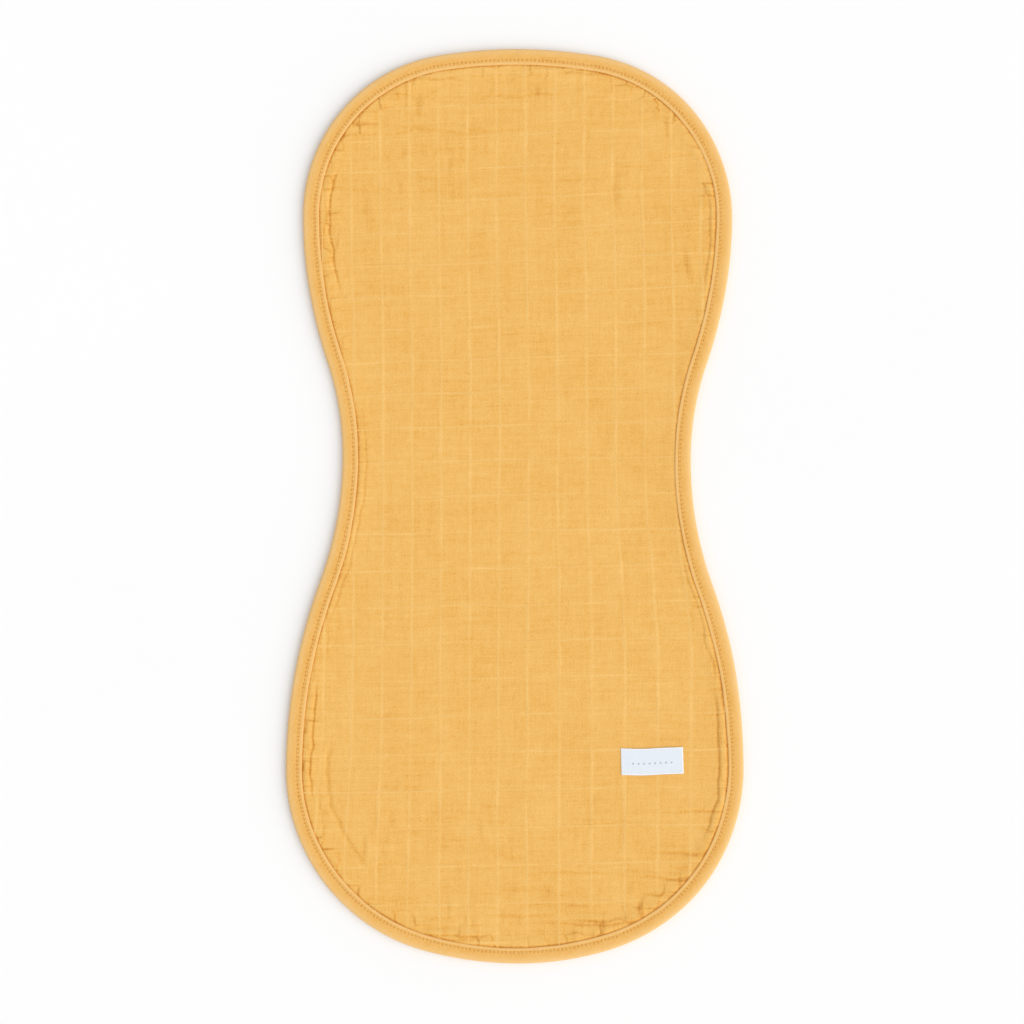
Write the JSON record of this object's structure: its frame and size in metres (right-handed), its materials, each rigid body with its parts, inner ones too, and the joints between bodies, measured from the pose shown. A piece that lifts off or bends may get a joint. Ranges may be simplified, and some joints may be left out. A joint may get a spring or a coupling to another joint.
{
  "type": "burp cloth",
  "caption": "Hourglass-shaped burp cloth of layered cotton gauze, its edge bound with stitched bias tape, with a small sewn-on label; it lies over a shoulder by its waist.",
  "frame": {"origin": "middle of the length and width, on the surface that the cloth lies on", "axes": "+Y along the length towards the narrower lobe, +Z up out of the face, +X to the right seen from above with +Y up"},
  "size_m": [0.2504, 0.5, 0.0044],
  "materials": {
    "outer_gauze": "soft open-weave cotton gauze, ochre",
    "core_gauze": "soft open-weave cotton gauze, pale ochre",
    "tie_yarn": "cotton yarn, pale ochre",
    "binding_tape": "plain-weave cotton bias tape, matt ochre",
    "sewing_thread": "twisted polyester thread, ochre",
    "label_tape": "woven satin label tape, cool white",
    "label_thread": "fine twisted polyester thread, white"
  },
  "bodies": {
    "root": {"face_outer_ply": "outer_gauze", "face_inner_ply": "outer_gauze", "face_tie_warp": "tie_yarn", "face_tie_weft": "tie_yarn", "core_upper_ply": "core_gauze", "core_lower_ply": "core_gauze", "core_tie_warp": "tie_yarn", "core_tie_weft": "tie_yarn", "back_inner_ply": "outer_gauze", "back_outer_ply": "outer_gauze", "back_tie_warp": "tie_yarn", "back_tie_weft": "tie_yarn", "edge_binding": "binding_tape", "binding_needle_thread": "sewing_thread", "binding_bobbin_thread": "sewing_thread", "label": "label_tape", "label_needle_thread": "label_thread", "label_bobbin_thread": "label_thread"}
  },
  "joints": []
}
